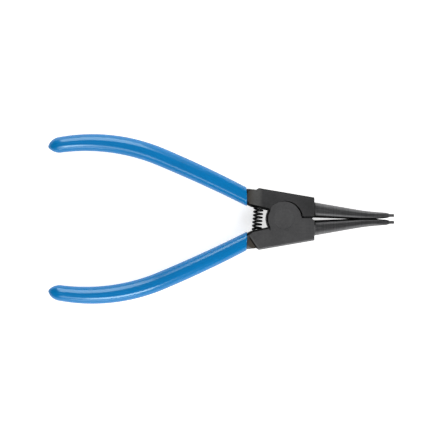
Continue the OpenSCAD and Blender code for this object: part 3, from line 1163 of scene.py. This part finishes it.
@dataclass
class DippedGrip:
    """A plastic skin over a handle: a slightly bent shank, a round bow and a rounded nose."""

    arm: Arm
    material: bpy.types.Material
    slot: str = "grip_plastic"
    rim_x_mm: float = 19.1
    rim_y_mm: float = 11.5
    shank_angle_deg: float = 27.1
    bow_angle_deg: float = 22.7
    shank_length_mm: float = 49.3
    bow_radius_mm: float = 96.5
    skew_length_mm: float = 9.0
    front_width_mm: float = 8.9
    belly_width_mm: float = 9.7
    rear_width_mm: float = 8.0
    belly_distance_mm: float = 56.0
    nose_length_mm: float = 6.2
    nose_slope_length_mm: float = 9.0
    nose_power: float = 0.7
    nose_rounding: float = 1.6
    nose_row_share: float = 0.25
    nose_crowd_mm: float = 0.3
    wall_mm: float = 0.8
    lip_mm: float = 0.34
    lip_segments: int = 3
    lip_deg: float = 50.0
    front_flat_share: float = 0.42
    rear_flat_share: float = 0.26
    side_flat_share: float = 0.32
    edge_power: float = 7.0
    rows: int = 150
    columns: int = 112

    @staticmethod
    def skin_group() -> bpy.types.NodeTree:
        """Builds the tree that lays a skin round a handle from its rim to the tip of its nose.

        Returns:
            The tree.
        """
        group = NodeGroup("dipped_skin", "GeometryNodeTree")
        rim = group.input("Rim", "NodeSocketVector")
        shank_angle, shank_length = group.numbers("Shank Angle", "Shank Length")
        bow_angle, bow_r = group.numbers("Bow Angle", "Bow Radius")
        length, skew, thickness = group.numbers("Handle Length", "Skew Length", "Thickness")
        front_w, belly_w, rear_w = group.numbers("Front Width", "Belly Width", "Rear Width")
        belly, nose, nose_slope = group.numbers("Belly Distance", "Nose Length", "Nose Slope Length")
        nose_power, nose_rounding, nose_rows = group.numbers("Nose Power", "Nose Rounding", "Nose Row Share")
        flat_front, flat_rear, side = group.numbers("Front Flat Share", "Rear Flat Share", "Side Flat Share")
        power = group.number("Edge Power")
        rows = group.input("Rows", "NodeSocketInt")
        columns = group.input("Columns", "NodeSocketInt")
        material = group.input("Material", "NodeSocketMaterial")

        sheet = group.add(
            "GeometryNodeMeshGrid", Size_X=1.0, Size_Y=1.0, Vertices_X=rows, Vertices_Y=columns
        )
        flat_x, flat_y, _ = group.axes(group.add("GeometryNodeInputPosition").outputs["Position"])
        along = flat_x + 0.5
        around = (flat_y + 0.5) * math.tau

        body_rows = nose_rows.less_from(1.0)
        into_nose = ((along - body_rows) / nose_rows).at_least(0.0) * (math.pi / 2)
        distance = (length - nose_slope) * (along / body_rows).at_most(1.0) + nose_slope * into_nose.sine()

        def left(over: Field) -> Field:
            """Share of the full section that is left in a nose of this length."""
            gone = ((length - distance) / over).less_from(1.0).at_least(0.0)
            return (gone * gone).less_from(1.0).at_least(0.0) ** nose_power

        wide, thick = left(nose), left(nose_slope)
        rounding = (thick.less_from(1.0) * nose_rounding).at_most(1.0)

        before = (distance / belly).less_from(1.0).at_least(0.0)
        behind = ((distance - belly) / (length - belly)).at_least(0.0)
        width = belly_w - (belly_w - front_w) * before * before - (belly_w - rear_w) * behind * behind

        shank_slope = shank_angle - (shank_angle - bow_angle) * (distance / shank_length).at_most(1.0)
        slope = shank_slope - (distance - shank_length).at_least(0.0) / bow_r
        shank_r = shank_length / (shank_angle - bow_angle)
        rim_x, rim_y, rim_z = group.axes(rim)

        def path(start: Field, trig: str) -> Field:
            """One coordinate of the handle's axis.

            Args:
                start: That coordinate at the rim.
                trig: The Math operation that goes with it.

            Returns:
                The coordinate.
            """
            shank_part = shank_slope.math(trig) - shank_angle.math(trig)
            bow_part = slope.math(trig) - shank_slope.math(trig)
            return start + shank_r * shank_part + bow_r * bow_part

        turn = slope * (distance / skew).eased()
        spread = (slope - turn).cosine()
        across, up = around.cosine(), around.sine()
        beside, over = across.size(), up.size()
        flat = flat_front + (flat_rear - flat_front) * (distance / length)
        facet = (beside * side.less_from(1.0) + over * flat.less_from(1.0)) / (side * flat).less_from(1.0)
        total = beside**power + over**power + facet**power
        edged = total ** (power**-1.0 * -1.0)
        reach = edged + edged.less_from(1.0) * rounding
        sideways = width * wide * across * reach * 0.5 / spread
        x = path(rim_x, "SINE") + sideways * turn.sine()
        y = path(rim_y, "COSINE") + sideways * turn.cosine()
        z = rim_z + thickness * thick * up * reach * 0.5
        spot = group.add("ShaderNodeCombineXYZ", X=x, Y=y, Z=z)
        placed = group.add(
            "GeometryNodeSetPosition", Geometry=sheet.outputs["Mesh"], Position=spot.outputs["Vector"]
        )
        joined = group.add(
            "GeometryNodeMergeByDistance", Geometry=placed.outputs["Geometry"], Distance=SEAM_MM * MM
        )
        group.output_mesh(joined.outputs["Geometry"], material)
        return group.tree

    def handle_length(self, reach: float) -> float:
        """Length of the handle's axis behind the rim.

        Args:
            reach: Distance from the pivot to the tip of the nose.

        Returns:
            The length in metres.
        """
        shank_angle, bow_angle = math.radians(self.shank_angle_deg), math.radians(self.bow_angle_deg)
        shank, bow_r = self.shank_length_mm * MM, self.bow_radius_mm * MM
        shank_r = shank / (shank_angle - bow_angle)
        shank_x = -self.rim_x_mm * MM - shank_r * math.sin(shank_angle)
        bow_x = shank_x + (shank_r - bow_r) * math.sin(bow_angle)
        end_angle = math.asin((-reach - bow_x) / bow_r)
        return shank + bow_r * (bow_angle - end_angle)

    def close_nose(self, form: Form) -> None:
        """Draws the crowded corners of the inner wall behind the tip of the nose into one.

        Args:
            form: The skin's editable mesh.
        """
        tips = [corner for corner in form.verts if len(corner.link_edges) > self.columns // 2]
        inner_tip = max(tips, key=lambda corner: corner.co.x).co.copy()
        near = self.nose_crowd_mm * MM
        crowd = [corner for corner in form.verts if (corner.co - inner_tip).length < near]
        bmesh.ops.pointmerge(form, verts=crowd, merge_co=inner_tip)

    def build(self, group: bpy.types.NodeTree) -> Piece:
        """Lays the skin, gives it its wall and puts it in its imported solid's place.

        Args:
            group: The tree from skin_group.

        Returns:
            The finished piece.
        """
        node = self.arm.node("grip")
        low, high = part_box(Arm.UPPER.node("grip"))
        laid = {
            "Rim": Vector((-self.rim_x_mm * MM, self.rim_y_mm * MM, (low.z + high.z) / 2)),
            "Handle Length": self.handle_length(-low.x),
            "Thickness": high.z - low.z,
        }
        piece = grow(f"{node}_dipped", group, tree_sizes(self) | laid)
        edit_mesh(piece.data, merge, face_outwards)
        if self.arm is Arm.LOWER:
            over = Matrix.Rotation(math.pi, 4, "X")
            piece.data.transform(Matrix.Translation((0, 0, low.z + high.z)) @ over)
        wall = piece.modifiers.new("wall", "SOLIDIFY")
        wall.thickness = self.wall_mm * MM
        wall.offset = -1.0
        settle(piece)
        edit_mesh(piece.data, self.close_nose)
        add_bevel(piece, self.lip_mm, self.lip_segments, self.lip_deg)
        settle(piece)
        edit_mesh(piece.data, smooth_all)
        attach(piece, self.arm.body)
        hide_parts(node)
        return piece


@dataclass(frozen=True)
class Softbox:
    """A rectangular studio lamp that looks at the pliers, with its place and size in metres."""

    name: str
    place: Place
    size: tuple[float, float]
    power: float

    def build(self, target: Vector) -> Piece:
        """Hangs the lamp.

        Args:
            target: The point that it faces.

        Returns:
            The lamp's object.
        """
        lamp = bpy.data.lights.new(self.name, "AREA")
        lamp.shape = "RECTANGLE"
        lamp.size, lamp.size_y = self.size
        lamp.energy = self.power
        hung = add_object(self.name, lamp)
        hung.location = self.place
        hung.rotation_euler = (target - Vector(self.place)).to_track_quat("-Z", "Y").to_euler()
        return hung


@dataclass
class Studio:
    """The white table, the lamps and the camera that looks straight down."""

    photo_px: float = 430.0
    pliers_px: Span = (48.04, 393.9)
    pivot_px: tuple[float, float] = (283.33, 218.9)
    lens_mm: float = 80.0
    sensor_mm: float = 36.0
    clip_end: float = 20.0
    table_half: float = 3.0
    table_colour: Colour = (0.8, 0.8, 0.8, 1.0)
    table_roughness: float = 0.9
    camera_glow: float = 0.7
    mirror_glow: float = 0.55
    sky_low: float = 0.72
    sky_high: float = 0.16
    sky_dim: float = 0.8
    dim_ahead: Span = (0.15, 0.4)
    dim_astern: Span = (-0.35, -0.6)
    lamps: tuple[Softbox, ...] = (
        Softbox("softbox_far", (-0.165, 0.75, 0.32), (0.53, 0.56), 4.5),
        Softbox("softbox_near", (-0.05, -0.75, 0.43), (0.34, 0.31), 3.84),
        Softbox("rear_near", (-0.36, -0.75, 0.43), (0.28, 0.31), 0.9),
        Softbox("strip_near", (-0.13, -0.80, 0.09), (0.36, 0.12), 0.5),
        Softbox("side_far", (0.175, 0.75, 0.30), (0.15, 0.50), 0.17),
        Softbox("side_near", (0.175, -0.75, 0.30), (0.15, 0.50), 0.1),
        Softbox("softbox_front", (0.95, 0.0, 0.65), (0.6, 0.6), 4.6),
        Softbox("softbox_over_grips", (-0.42, 0.0, 0.75), (0.15, 0.5), 0.3),
    )

    def build(self, low: Vector, high: Vector) -> None:
        """Sets up the whole studio round the pliers.

        Args:
            low: Lowest corner of the pliers' box.
            high: Its highest corner.
        """
        self._table()
        self._sky()
        middle = (low + high) / 2
        for lamp in self.lamps:
            lamp.build(middle)
        self._camera(low, high)

    def _table(self) -> None:
        """A white table that reads as white to the camera and in reflections, and still takes a shadow."""
        mesh = bpy.data.meshes.new("table")
        half = self.table_half
        corners = [(-half, -half, 0), (half, -half, 0), (half, half, 0), (-half, half, 0)]
        mesh.from_pydata(corners, [], [(0, 1, 2, 3)])
        table = add_object("table", mesh)
        finish = Finish("table_white")
        nodes = finish.nodes
        finish.set(Base_Color=self.table_colour, Roughness=self.table_roughness, Specular_IOR_Level=0.0)
        rays = nodes.add("ShaderNodeLightPath")
        seen = nodes.field(rays.outputs["Is Camera Ray"]) * self.camera_glow
        glossy = nodes.field(rays.outputs["Is Glossy Ray"])
        mirrored = glossy.at_least(nodes.field(rays.outputs["Is Transmission Ray"])) * self.mirror_glow
        glow = nodes.add("ShaderNodeEmission", Color=WHITE, Strength=seen + mirrored)
        both = nodes.add("ShaderNodeAddShader")
        nodes.feed(both.inputs[0], finish.shader.outputs["BSDF"])
        nodes.feed(both.inputs[1], glow.outputs["Emission"])
        out = finish.material.node_tree.nodes["Material Output"]
        nodes.feed(out.inputs["Surface"], both.outputs["Shader"])
        mesh.materials.append(finish.material)
        table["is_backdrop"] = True

    def _sky(self) -> None:
        """White to the camera, and to all else a room that is dim overhead and at both ends."""
        world = bpy.data.worlds.new("studio_room")
        world.use_nodes = True
        bpy.context.scene.world = world
        nodes = Tree(world.node_tree)
        back = world.node_tree.nodes["Background"]
        way_x, _, way_z = nodes.axes(nodes.add("ShaderNodeTexCoord").outputs["Generated"])
        ends = way_x.ramp(self.dim_ahead) + way_x.ramp(self.dim_astern)
        room = way_z.eased() * (self.sky_high - self.sky_low) + self.sky_low
        room = room * (ends * -self.sky_dim + 1.0)
        seen = nodes.field(nodes.add("ShaderNodeLightPath").outputs["Is Camera Ray"])
        nodes.feed(back.inputs["Color"], WHITE)
        nodes.feed(back.inputs["Strength"], seen + seen.less_from(1.0) * room)

    def _camera(self, low: Vector, high: Vector) -> None:
        """Hangs the camera so that the pliers fill the photograph's frame as they do there.

        Args:
            low: Lowest corner of the pliers' box.
            high: Its highest corner.
        """
        scale = (high.x - low.x) / (self.pliers_px[1] - self.pliers_px[0])
        centre = self.photo_px / 2
        view = bpy.data.cameras.new("camera")
        view.lens = self.lens_mm
        view.sensor_width = self.sensor_mm
        view.clip_end = self.clip_end
        camera = add_object("camera", view)
        distance = self.photo_px * scale * self.lens_mm / self.sensor_mm
        camera.location = (
            (centre - self.pivot_px[0]) * scale,
            (self.pivot_px[1] - centre) * scale,
            (low.z + high.z) / 2 + distance,
        )
        bpy.context.scene.camera = camera


class CirclipPliers:
    """The whole tool: two forged halves, a rivet, a spring and two dipped grips."""

    HALF_STEEL = {
        Arm.LOWER: BurnishedSteel(
            "steel_lower_half",
            ground=(95, 95, 96),
            neck=(86, 84, 80),
            # Painted highlight on this half's outer edges.
            outer_edge=(104, 104, 105),
            inward=1.0,
        ),
        Arm.UPPER: BurnishedSteel(
            "steel_upper_half",
            ground=(78, 78, 79),
            neck=(103, 103, 102),
            # Painted shade on this half's outer edges.
            outer_edge=(48, 48, 48),
            inward=-1.0,
            neck_band_mm=(1.7, 1.45),
        ),
    }
    RIVET_STEEL = BurnishedSteel(
        "steel_rivet", ground=(98, 98, 99), neck=(98, 98, 99), outer_edge=(60, 60, 60), inward=0.0
    )
    RIVET_EDGE_MM = 0.05

    def __init__(self, nodes: dict[str, Piece]) -> None:
        """Prepares the finishes.

        Args:
            nodes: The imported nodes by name.
        """
        self.nodes = nodes
        groups = ShaderGroups()
        self.half_steel = {arm: steel.build(groups) for arm, steel in self.HALF_STEEL.items()}
        self.rivet_steel = self.RIVET_STEEL.build(groups)
        self.spring_steel = BlackSpringSteel("steel_spring").build(groups)
        self.plastic = DippedPlastic("dipped_blue").build(groups)

    def build(self) -> list[Piece]:
        """Makes every piece.

        Returns:
            The pieces, in the order in which they are made.
        """
        solids = [EdgedSolid(arm.node("half"), arm.body, "tool_steel", self.half_steel[arm]) for arm in Arm]
        solids.append(
            EdgedSolid(
                "pivot_rivet", Arm.LOWER.body, "rivet_steel", self.rivet_steel, edge_mm=self.RIVET_EDGE_MM
            )
        )
        pieces = [solid.build(self.nodes[solid.node]) for solid in solids]
        pieces.append(ReturnSpring(self.spring_steel).build())
        skin = DippedGrip.skin_group()
        pieces += [DippedGrip(arm, self.plastic).build(skin) for arm in Arm]
        return pieces


def main() -> None:
    """Builds the pliers and their studio, and logs how many faces each piece has."""
    logging.basicConfig(level=logging.INFO, format="%(name)s: %(message)s")
    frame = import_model()
    cad_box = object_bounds()
    bpy.context.scene.view_settings.view_transform = "Standard"
    for piece in CirclipPliers(frame["nodes"]).build():
        log.info("%s: %d faces", piece.name, len(piece.data.polygons))
    Studio().build(Vector(cad_box[0]), Vector(cad_box[1]))


if __name__ == "__main__":
    main()
